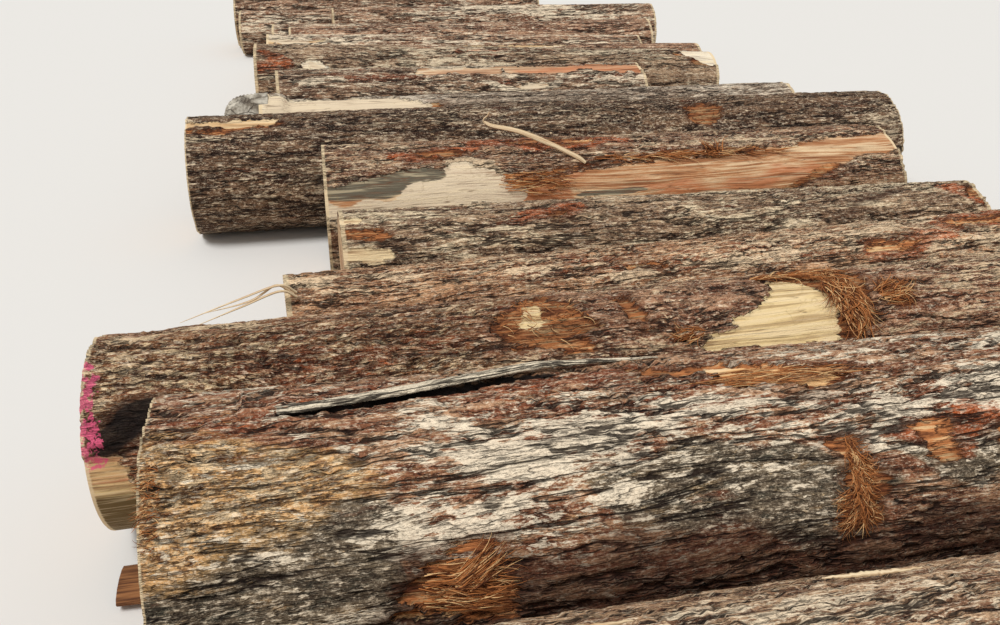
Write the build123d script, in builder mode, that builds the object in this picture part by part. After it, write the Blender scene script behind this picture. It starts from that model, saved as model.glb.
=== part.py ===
from build123d import *
import os
from math import cos, pi, radians, sin

# A heap of hardwood sawlogs, laid side by side in one layer on level ground with their ends
# staggered. The logs lie along X, the row runs away along Y, and the ground is Z = 0.

# sizes that all the logs share
bark_thickness = 20
seat_clearance = 0.58
saw_lean = 1.5

# shape of a stem, as shares of its radius and as degrees from end to end
out_of_round = 0.03
fluting = 0.012
flute_winding = 40

# how finely a stem is drawn along and around, and where it is measured against its neighbour
bands_along = 5
flats_around = 32
seat_stations = 40


class Log:
    """One sawlog as it lies: X of its left end, length, diameters over the bark at both ends,
    degrees that it lies askew, sweep sideways at mid-length, and the turn of its oval."""

    def __init__(self, start, length, left_diameter, right_diameter, askew, sweep, turn):
        self.start = start
        self.length = length
        self.left_radius = left_diameter / 2
        self.right_radius = right_diameter / 2
        self.askew = radians(askew)
        self.sweep = sweep
        self.turn = radians(turn)
        self.across = 0

    @property
    def end(self):
        return self.start + self.length

    def radius(self, share, angle, peeled=0):
        """Radius at a share of the length, at an angle from the far side up over the top."""
        even = self.left_radius + (self.right_radius - self.left_radius) * share
        oval = out_of_round * cos(2 * (angle - self.turn))
        flutes = fluting * cos(3 * (angle + self.turn) + radians(flute_winding) * share)
        return even * (1 + oval + flutes) - peeled

    def height(self, share):
        """Height of the centre line, with the belly of the log on the ground."""
        belly = [radians(angle) for angle in range(240, 301, 5)]
        return max(-self.radius(share, angle) * sin(angle) for angle in belly)

    def centre(self, share):
        """Point on the centre line, which lies askew and is swept sideways."""
        x = self.start + self.length * share
        y = self.across + self.length * share * sin(self.askew) + self.sweep * sin(pi * share)
        return Vector(x, y, self.height(share))

    def corners(self, section, peeled=0, overrun=0):
        """Corners of one cross section, as points in the heap."""
        plane = self.section_plane(section, overrun)
        share = section / bands_along
        angles = [2 * pi * flat / flats_around for flat in range(flats_around)]
        radii = [self.radius(share, angle, peeled) for angle in angles]
        return [plane.from_local_coords((r * cos(a), r * sin(a), 0)) for r, a in zip(radii, angles)]

    def section_plane(self, section, overrun=0):
        """Plane of a section, square to the log but for the ends, where the saw leaned."""
        lean = 0
        if section in (0, bands_along):
            lean = radians(saw_lean) * cos(self.turn + pi * section / bands_along)
        angle = self.askew + lean
        along = Vector(cos(angle), sin(angle), 0)
        outward = {0: -overrun, bands_along: overrun}.get(section, 0)
        origin = self.centre(section / bands_along) + along * outward
        return Plane(origin, x_dir=(-sin(angle), cos(angle), 0), z_dir=along)

    def outline_at(self, x):
        """Outline of the log in the upright plane at X, as pairs of Y and Z."""
        band = min(bands_along - 1, max(0, int((x - self.start) / self.length * bands_along)))
        outline = []
        for left, right in zip(self.corners(band), self.corners(band + 1)):
            point = left + (right - left) * ((x - left.X) / (right.X - left.X))
            outline.append((point.Y, point.Z))
        return outline


# the row, nearest log first
logs = [
    Log(-415, 3760, 640, 400, 3.2, 12, 20),
    Log(-365, 3760, 690, 585, 1.8, -10, 70),
    Log(-595, 3760, 580, 550, 1.9, 15, 150),
    Log(-135, 3760, 450, 485, 1.9, -20, 35),
    Log(65, 2730, 485, 435, 1.5, 10, 110),
    Log(25, 2640, 600, 570, 0.8, -8, 165),
    Log(-585, 3640, 560, 565, -0.3, 14, 60),
    Log(-270, 3040, 515, 515, -0.1, -12, 130),
    Log(-195, 2250, 570, 550, 0, 8, 15),
    Log(-330, 3100, 590, 490, -0.7, 15, 95),
    Log(500, 2380, 490, 465, -1.7, -6, 140),
    Log(-290, 2890, 490, 440, -2.2, 12, 45),
    Log(-130, 2970, 450, 480, -2.3, -14, 75),
    Log(-270, 2460, 420, 405, -2, 8, 120),
    Log(240, 2960, 490, 500, -2, 10, 25),
    Log(-585, 2670, 405, 420, -1.7, -9, 155),
    Log(-650, 2970, 470, 485, -1.3, 12, 85),
]

# where the bark is off: number of the log, then how far along it and at which angle the patch
# faces, then its outline as distances along the log and up round it from there
peeled_patches = [
    (2, 1240, 92, [(-260, 40), (-90, 62), (90, 30), (250, -20), (110, -70), (-120, -55)]),
    (3, 1160, 112, [(-150, 0), (-60, 85), (20, 120), (80, 40), (150, -30), (30, -75), (-100, -55)]),
    (3, 1880, 115, [(-280, -55), (-130, 25), (-35, 95), (90, 95), (165, 5), (125, -95), (-120, -105)]),
    (3, 60, 215, [(-200, 215), (60, 205), (170, 120), (210, -40), (120, -170), (-200, -180)]),
    (5, 120, 140, [(-300, -20), (-60, -15), (70, -30), (70, -110), (-60, -125), (-300, -120)]),
    (6, 1300, 143, [(-1600, 88), (-650, 75), (-130, 72), (340, 84), (1330, 155), (1600, 160),
                    (1600, 20), (1260, -5), (800, -65), (300, -82), (-650, -82), (-1600, -90)]),
    (8, 420, 112, [(-700, 130), (-100, 125), (120, 100), (300, 50), (490, -20), (380, -110), (-700, -120)]),
    (10, 3000, 100, [(-120, 40), (0, 95), (300, 110), (300, -120), (20, -95), (-100, -40)]),
]

# where a slab of wood split off too: number of the log, how far along it and at which angle the
# flat faces, how far under the bark it lies, then its outline
split_slabs = [
    (2, 0, 80, 42, [(-100, 190), (110, 190), (190, 60), (230, -90), (120, -170), (-100, -150)]),
]

# the weathered stub that stands out of the left end of one log: number of the log, its height
# over the ground, its thickness and how far it stands out
knob_log, knob_height, knob_thickness, knob_reach = 8, 400, 300, 165


def sides(outline, height):
    """Near and far Y of an outline at a height."""
    found = []
    for (y, z), (next_y, next_z) in zip(outline, outline[1:] + outline[:1]):
        if min(z, next_z) <= height < max(z, next_z):
            found.append(y + (next_y - y) * (height - z) / (next_z - z))
    return min(found), max(found)


def lay_against(log, neighbour):
    """Moves a log up to its neighbour until their bark is a seat clearance apart."""
    first = max(log.start, neighbour.start)
    last = min(log.end, neighbour.end)
    overlaps = []
    for station in range(seat_stations + 1):
        x = first + (last - first) * station / seat_stations
        near = neighbour.outline_at(x)
        far = log.outline_at(x)
        lowest = max(min(z for _, z in near), min(z for _, z in far))
        highest = min(max(z for _, z in near), max(z for _, z in far))
        for _, height in near + far:
            if lowest < height < highest:
                overlaps.append(sides(near, height)[1] - sides(far, height)[0])
    log.across += max(overlaps) + seat_clearance


def draw_sections(log, peeled=0, overrun=0):
    """Draws the outlines of a log from end to end, over the bark or with it peeled off."""
    sections = []
    for section in range(bands_along + 1):
        plane = log.section_plane(section, overrun)
        with BuildSketch(plane) as cross_section:
            with BuildLine():
                corners = log.corners(section, peeled, overrun)
                Polyline(*[plane.to_local_coords(corner) for corner in corners], close=True)
            make_face()
        sections.append(cross_section.sketch)
    return sections


def patch_plane(log, along, facing, depth):
    """Plane under the bark, at a depth below it, that looks out through a patch."""
    up = radians(facing)
    outward = Vector(-sin(log.askew) * cos(up), cos(log.askew) * cos(up), sin(up))
    middle = log.centre(along / log.length)
    inside = log.radius(along / log.length, up) - depth
    return Plane(middle + outward * inside, x_dir=(cos(log.askew), sin(log.askew), 0), z_dir=outward)


def draw_patch(plane, corners):
    """Draws the outline of a patch or a slab on its plane."""
    with BuildSketch(plane) as patch:
        with BuildLine():
            Polyline(*corners, close=True)
        make_face()
    return patch.sketch


def peel_bark(log, patches):
    """Makes the bark that is off a log: all that stands on the wood inside the patches' outlines."""
    with BuildPart() as peel:
        for _, along, facing, corners in patches:
            inside = draw_patch(patch_plane(log, along, facing, log.left_radius / 2), corners)
            extrude(inside, log.left_radius)
        loft(draw_sections(log, bark_thickness, log.left_radius), ruled=True, mode=Mode.SUBTRACT)
    return peel.part


def knob_profile(log):
    """Draws half of the knob's outline, from inside the end of the log out to its weathered tip."""
    seat = Vector(log.start, log.centre(0).Y, knob_height)
    half = knob_thickness / 2
    with BuildSketch(Plane(seat, x_dir=(-1, 0, 0), z_dir=(0, 1, 0))) as profile:
        with BuildLine():
            Polyline(
                (-half, 0),
                (-half, half),
                (0.4 * knob_reach, half),
                (0.8 * knob_reach, 0.8 * half),
                (knob_reach, 0.45 * half),
                (knob_reach, 0),
                close=True,
            )
        make_face()
    return profile.sketch


for behind, log in enumerate(logs[1:]):
    lay_against(log, logs[behind])

stems = []
for number, log in enumerate(logs, start=1):
    patches = [patch for patch in peeled_patches if patch[0] == number]
    slabs = [slab for slab in split_slabs if slab[0] == number]
    with BuildPart() as stem:
        loft(draw_sections(log), ruled=True)
        for _, along, facing, depth, corners in slabs:
            flat = draw_patch(patch_plane(log, along, facing, depth), corners)
            extrude(flat, log.left_radius, mode=Mode.SUBTRACT)
        if patches:
            add(peel_bark(log, patches), mode=Mode.SUBTRACT)
        if number == knob_log:
            revolve(knob_profile(log), Axis((log.start, log.centre(0).Y, knob_height), (1, 0, 0)))
    stem.part.label = f"log_{number:02d}"
    stems.append(stem.part)

# the origin is on the ground, under the middle of the heap
boxes = [stem.bounding_box() for stem in stems]
middle_x = (min(box.min.X for box in boxes) + max(box.max.X for box in boxes)) / 2
middle_y = (min(box.min.Y for box in boxes) + max(box.max.Y for box in boxes)) / 2
ground = min(box.min.Z for box in boxes)

os.makedirs("parts", exist_ok=True)
for stem in stems:
    placed = stem.moved(Location((-middle_x, -middle_y, -ground)))
    placed.label = stem.label
    export_step(placed, f"parts/{placed.label}.step")
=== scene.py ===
import math

import bpy
import numpy as np
from mathutils import Matrix, Vector
from mathutils.bvhtree import BVHTree


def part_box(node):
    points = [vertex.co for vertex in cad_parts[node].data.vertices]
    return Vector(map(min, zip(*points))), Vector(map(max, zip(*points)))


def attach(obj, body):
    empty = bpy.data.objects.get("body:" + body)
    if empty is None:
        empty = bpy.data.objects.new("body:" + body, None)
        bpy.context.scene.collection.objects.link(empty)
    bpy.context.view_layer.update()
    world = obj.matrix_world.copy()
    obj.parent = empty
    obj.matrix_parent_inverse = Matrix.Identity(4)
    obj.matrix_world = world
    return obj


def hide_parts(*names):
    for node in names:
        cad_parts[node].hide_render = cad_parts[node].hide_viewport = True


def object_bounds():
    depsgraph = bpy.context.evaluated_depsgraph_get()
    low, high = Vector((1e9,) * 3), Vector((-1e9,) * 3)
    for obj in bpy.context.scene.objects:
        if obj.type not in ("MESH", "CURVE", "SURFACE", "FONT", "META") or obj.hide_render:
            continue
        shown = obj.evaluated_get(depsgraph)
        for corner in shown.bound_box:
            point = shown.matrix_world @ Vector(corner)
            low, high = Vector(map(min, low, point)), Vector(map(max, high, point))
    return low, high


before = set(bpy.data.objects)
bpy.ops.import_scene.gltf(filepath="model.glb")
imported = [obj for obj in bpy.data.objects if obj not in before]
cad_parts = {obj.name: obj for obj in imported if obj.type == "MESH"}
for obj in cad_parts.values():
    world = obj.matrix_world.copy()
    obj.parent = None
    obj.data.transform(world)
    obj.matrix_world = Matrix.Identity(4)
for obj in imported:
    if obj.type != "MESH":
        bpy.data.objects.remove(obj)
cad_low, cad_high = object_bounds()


# The stems. Each is one sawn length of hardwood with its bark on, cut off by chain saw and rolled
# against its neighbour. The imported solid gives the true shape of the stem, and a finer skin is
# laid over it that carries the plates and fissures of the bark, the peeled patches and the ends.

class Stem:
    """The shape of one log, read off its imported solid."""

    def __init__(self, number):
        self.node = f"log_{number:02d}"
        self.number = number
        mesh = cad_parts[self.node].data
        mesh.calc_loop_triangles()
        points = [vertex.co.copy() for vertex in mesh.vertices]
        triangles = [tuple(face.vertices) for face in mesh.loop_triangles]
        self.solid = BVHTree.FromPolygons(points, triangles)
        centres = np.array([face.center for face in mesh.loop_triangles])
        normals = np.array([face.normal for face in mesh.loop_triangles])
        areas = np.array([face.area for face in mesh.loop_triangles])
        self.ends = [self.sawn_end(side, centres, normals, areas) for side in (-1, 1)]
        (left, _), (right, _) = self.ends
        self.length = float(np.linalg.norm(right - left))
        self.along = (right - left) / self.length
        self.far = np.array([-self.along[1], self.along[0], 0]) / math.hypot(*self.along[:2])
        self.up = np.cross(self.along, self.far)
        self.left = left
        self.measure()

    def sawn_end(self, side, centres, normals, areas):
        """Middle and outward normal of the flat end on one side."""
        square = normals[:, 0] * side > 0.9
        order = np.argsort(centres[square, 0])
        reach = np.cumsum(areas[square][order])
        middle = centres[square, 0][order][np.searchsorted(reach, reach[-1] / 2)]
        flat = square & (abs(centres[:, 0] - middle) < 0.05)
        weight = areas[flat] / areas[flat].sum()
        return weight @ centres[flat], weight @ normals[flat] / np.linalg.norm(weight @ normals[flat])

    def outward(self, angles):
        """Directions square to the stem, from the far side up over the top."""
        return np.cos(angles)[..., None] * self.far + np.sin(angles)[..., None] * self.up

    def radius(self, run, angle):
        """Distance from the middle line to the solid's surface."""
        start = Vector(self.left + self.along * run)
        aim = Vector(self.outward(np.array(angle)))
        return (self.solid.ray_cast(start, aim)[0] - start).length

    def measure(self):
        """Measures the solid, and finds the round shape over the bark and the depth cut below it."""
        clear_of_ends, flat_sag = 0.03, 0.004
        self.stations = np.linspace(clear_of_ends, self.length - clear_of_ends, int(self.length / 0.045))
        self.bearings = np.linspace(0, 2 * math.pi, 72, endpoint=False)
        found = np.array([[self.radius(run, angle) for angle in self.bearings] for run in self.stations])
        waves = self.waves(self.bearings)
        self.rounds = []
        for row in found:
            over_bark = np.ones(len(row), bool)
            for _ in range(6):
                shape = np.linalg.lstsq(waves[over_bark], row[over_bark], rcond=None)[0]
                over_bark = row > waves @ shape - flat_sag
            self.rounds.append(shape)
        self.rounds = np.array(self.rounds)
        self.cut = np.clip(self.rounds @ waves.T - found, 0, None)

    def waves(self, angles):
        """The even, oval and fluted parts of a stem's round shape."""
        turns = [np.ones(angles.shape)]
        for order in (1, 2, 3):
            turns += [np.cos(order * angles), np.sin(order * angles)]
        return np.stack(turns, -1)

    def over_bark(self, runs, angles):
        """Radius over the bark at places along and round the stem."""
        shape = [np.interp(runs, self.stations, wave) for wave in self.rounds.T]
        return sum(part * turn for part, turn in zip(shape, np.moveaxis(self.waves(angles), -1, 0)))

    def cut_depth(self, runs, angles):
        """How deep the solid is cut below its round shape."""
        row = np.interp(runs, self.stations, np.arange(len(self.stations)))
        low = np.minimum(row.astype(int), len(self.stations) - 2)
        share = row - low
        closed = np.concatenate([self.bearings, [2 * math.pi]])
        wrapped = np.concatenate([self.cut, self.cut[:, :1]], 1)
        column = np.interp(angles % (2 * math.pi), closed, np.arange(len(closed)))
        left = np.minimum(column.astype(int), len(closed) - 2)
        aside = column - left
        near = wrapped[low, left] * (1 - aside) + wrapped[low, left + 1] * aside
        next_row = wrapped[low + 1, left] * (1 - aside) + wrapped[low + 1, left + 1] * aside
        return near * (1 - share) + next_row * share

    def end_run(self, side, angles, radii):
        """Distance along the stem at which a line beside it meets a sawn end."""
        middle, normal = self.ends[side]
        beside = self.left + self.outward(angles) * radii[:, None]
        return (middle - beside) @ normal / (self.along @ normal)

    def bark_radius(self, runs, angles):
        """Radius of the skin: over the bark, and down to the flat where a slab has split off.
        The solid's shallow peels are left to the relief, which draws their edges finer."""
        peel_depth = 0.024
        return self.over_bark(runs, angles) - np.clip(self.cut_depth(runs, angles) - peel_depth, 0, None)

    def on_bark(self, runs, angles, height):
        """Points at a height over the bark."""
        reach = self.bark_radius(runs, angles) + height
        points = self.left + runs[..., None] * self.along + reach[..., None] * self.outward(angles)
        over_ground, under_top = 0.002, 0.014
        points[..., 2] = np.clip(points[..., 2], over_ground, cad_high[2] - under_top)
        return points


def finer_where_seen(count, start, stop, seen, ratio):
    """Divides a range into steps, which are finer by a ratio over the stretch that is seen."""
    fine = np.linspace(start, stop, 2001)
    weight = np.where((fine > seen[0]) & (fine < seen[1]), ratio, 1.0)
    filled = np.concatenate([[0], np.cumsum((weight[1:] + weight[:-1]) / 2)])
    return np.interp(np.linspace(0, filled[-1], count), filled, fine)


def inside_outline(runs, arcs, outline):
    """Distance inside a closed outline, in metres, and less than nothing outside it."""
    corners = np.array(outline, float)
    nearest = np.full(runs.shape, 1e9)
    within = np.zeros(runs.shape, bool)
    for (x0, y0), (x1, y1) in zip(corners, np.roll(corners, -1, 0)):
        dx, dy = x1 - x0, y1 - y0
        share = np.clip(((runs - x0) * dx + (arcs - y0) * dy) / (dx * dx + dy * dy), 0, 1)
        nearest = np.minimum(nearest, np.hypot(runs - x0 - share * dx, arcs - y0 - share * dy))
        if dy:
            crossing = ((y0 > arcs) != (y1 > arcs)) & (runs < dx * (arcs - y0) / dy + x0)
            within ^= crossing
    return np.where(within, nearest, -nearest)


def oval(run, angle, half_run, half_angle):
    """Outline of an oval patch, by its middle and its half sizes along and round the stem."""
    turns = np.linspace(0, 2 * math.pi, 14, endpoint=False)
    return [(run + half_run * math.cos(turn), angle + half_angle * math.sin(turn)) for turn in turns]


class Wire:
    """A socket of a node tree, so that the sums of a material or a relief read as sums."""

    def __init__(self, tree, socket=None):
        self.tree = tree
        self.socket = socket

    def node(self, kind, settings, sockets, output=0):
        made = self.tree.nodes.new(kind)
        for name, value in settings.items():
            setattr(made, name, value)
        for name, value in sockets.items():
            if isinstance(value, Wire):
                self.tree.links.new(value.socket, made.inputs[name])
            else:
                made.inputs[name].default_value = value
        return Wire(self.tree, None if output is None else made.outputs[output])

    def math(self, operation, *values):
        return self.node("ShaderNodeMath", {"operation": operation}, dict(enumerate(values)))

    def __add__(self, other):
        return self.math("ADD", self, other)

    def __sub__(self, other):
        return self.math("SUBTRACT", self, other)

    def __mul__(self, other):
        return self.math("MULTIPLY", self, other)

    def __radd__(self, other):
        return self.math("ADD", other, self)

    def __rsub__(self, other):
        return self.math("SUBTRACT", other, self)

    def __rmul__(self, other):
        return self.math("MULTIPLY", other, self)

    def most(self, other):
        return self.math("MAXIMUM", self, other)

    def least(self, other):
        return self.math("MINIMUM", self, other)

    def ease(self, low, high):
        """0 below low, 1 above high, and an even curve between."""
        sockets = {"Value": self, "From Min": low, "From Max": high}
        return self.node("ShaderNodeMapRange", {"interpolation_type": "SMOOTHSTEP"}, sockets)

    def toward(self, other, share):
        """Mixes this number with another one."""
        return self + (other - self) * share

    def blend(self, low, high):
        """Colour between two others, by this number. Plain ones are written from 0 to 255."""
        low, high = (colour if isinstance(colour, Wire) else rgb(*colour) for colour in (low, high))
        return self.node("ShaderNodeMix", {"data_type": "RGBA"}, {0: self, 6: low, 7: high}, 2)

    def tint(self, colour, share):
        """Mixes this colour with another one."""
        return share.blend(self, colour)

    def vector(self, operation, other):
        return self.node("ShaderNodeVectorMath", {"operation": operation}, {0: self, 1: other})

    def reach(self):
        """Length of a vector."""
        return self.node("ShaderNodeVectorMath", {"operation": "LENGTH"}, {0: self}, 1)

    def noise(self, along, around, detail=3.0, roughness=0.5, shift=0.0, output=0):
        """Cloudy noise, drawn out along the grain: how many to the metre along and around."""
        placed = self.vector("MULTIPLY", (along, around, around)).vector("ADD", (shift, shift, shift))
        sockets = {"Vector": placed, "Scale": 1.0, "Detail": detail, "Roughness": roughness}
        return self.node("ShaderNodeTexNoise", {}, sockets, output)

    def cells(self, along, around):
        """Distance from the cracks between the plates of a surface, drawn out along the grain."""
        sockets = {"Vector": self.vector("MULTIPLY", (along, around, around)), "Scale": 1.0}
        return self.node("ShaderNodeTexVoronoi", {"feature": "DISTANCE_TO_EDGE"}, sockets)

    def feed(self, socket):
        """Links this value to a socket of a shader."""
        self.tree.links.new(self.socket, socket)

    def measured(self, name, vector=False):
        """A value that is stored at the points of the skin."""
        if self.tree.type == "GEOMETRY":
            kind = "FLOAT_VECTOR" if vector else "FLOAT"
            return self.node("GeometryNodeInputNamedAttribute", {"data_type": kind}, {"Name": name})
        output = "Vector" if vector else "Fac"
        return self.node("ShaderNodeAttribute", {"attribute_name": name}, {}, output)


def rgb(red, green, blue):
    """A colour as the eye reads it, from 0 to 255, turned into light."""
    def light(value):
        value = value / 255
        return value / 12.92 if value <= 0.04045 else ((value + 0.055) / 1.055) ** 2.4
    return (light(red), light(green), light(blue), 1)


def patches(start):
    """How far a point is bare wood and how far it is torn inner bark, from 0 to 1, and the distance
    inside the torn patch's frayed edge."""
    grain = start.measured("grain", True)
    frayed = (grain.noise(5, 26, 5, 0.7, 3.1) - 0.5) * 0.2
    bare_edge = start.measured("bare") + frayed * 0.55
    torn_edge = start.measured("torn") + frayed
    return bare_edge.ease(-0.001, 0.003), torn_edge.ease(-0.002, 0.006), torn_edge


def bark_relief(start):
    """Depth of the surface under the outermost bark, in metres, and the parts that make it up."""
    grain = start.measured("grain", True)
    drift = grain.noise(1.6, 8, 2, 0.5, 7.7, 1).vector("SUBTRACT", (0.5, 0.5, 0.5))
    bent = grain.vector("ADD", drift.vector("MULTIPLY", (0.16, 0.055, 0.055)))
    plates = bent.noise(4.8, 29, 5, 0.66)
    levels = plates * 12
    whole = start.math("FLOOR", levels)
    flakes = (whole + (levels - whole).ease(0.0, 0.3)) * (1 / 12)
    long_line = start.math("ABSOLUTE", bent.noise(2.0, 17, 4, 0.62, 5.1) - 0.5)
    short_line = start.math("ABSOLUTE", bent.noise(8, 54, 3, 0.64, 8.8) - 0.5)
    fissure = 1 - long_line.ease(0.003, 0.024)
    crack = 1 - short_line.ease(0.002, 0.028)
    fine = bent.noise(28, 110, 3, 0.66, 1.7) - 0.5
    depth = (0.72 - flakes).most(0.0) * 0.03 + fissure * 0.009 + crack * 0.004 - fine * 0.006
    bare, torn, torn_edge = patches(start)
    strings = bent.noise(4, 130, 3, 0.6, 5.5)
    depth = depth.toward(0.011 + strings * 0.014 + crack * 0.004, torn)
    depth = depth.toward(0.018 + strings * 0.003, bare)
    split = start.measured("split") + fine * 0.005
    depth = (depth + split.ease(-0.003, 0.004) * 0.03).most(0.0)
    return depth, {"flakes": flakes, "whole": whole, "fissure": fissure, "crack": crack, "fine": fine,
                   "strings": strings, "bent": bent, "bare": bare, "torn": torn, "split": split,
                   "torn_edge": torn_edge}


relief_tree = bpy.data.node_groups.new("bark_relief", "GeometryNodeTree")
relief_tree.interface.new_socket("Geometry", in_out="INPUT", socket_type="NodeSocketGeometry")
relief_tree.interface.new_socket("Geometry", in_out="OUTPUT", socket_type="NodeSocketGeometry")
relief = Wire(relief_tree)
skin_in = relief.node("NodeGroupInput", {}, {})
depth_in, _ = bark_relief(relief)
inward = relief.node("ShaderNodeVectorMath", {"operation": "SCALE"}, {
    0: relief.measured("outward", True), "Scale": 0.0 - depth_in})
sunk = relief.node("GeometryNodeSetPosition", {}, {"Geometry": skin_in, "Offset": inward})
kept = relief.node("GeometryNodeStoreNamedAttribute", {"data_type": "FLOAT", "domain": "POINT"}, {
    "Geometry": sunk, "Name": "depth", "Value": depth_in})
relief.node("NodeGroupOutput", {}, {"Geometry": kept}, None)


def sink_relief(piece):
    """Sinks the bark's relief into a skin and leaves it as plain mesh."""
    modifier = piece.modifiers.new("relief", "NODES")
    modifier.node_group = relief_tree
    finished = piece.evaluated_get(bpy.context.evaluated_depsgraph_get())
    carved = bpy.data.meshes.new_from_object(finished)
    carved.name = piece.name
    piece.modifiers.clear()
    piece.data = carved


def start_finish(name):
    """Starts a material, and gives its tree and its shader."""
    material = bpy.data.materials.new(name)
    material.use_nodes = True
    material.node_tree.nodes.clear()
    start = Wire(material.node_tree)
    shader = start.node("ShaderNodeBsdfPrincipled", {}, {"Specular IOR Level": 0.25})
    start.node("ShaderNodeOutputMaterial", {}, {"Surface": shader}, None)
    return material, start, shader.socket.node


def set_surface(start, shader, colour, roughness, height):
    """Puts a colour, a roughness and a height in metres on a shader."""
    bump = start.node("ShaderNodeBump", {}, {"Strength": 1.0, "Distance": 1.0, "Height": height})
    colour.feed(shader.inputs["Base Color"])
    bump.feed(shader.inputs["Normal"])
    shader.inputs["Roughness"].default_value = roughness


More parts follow.
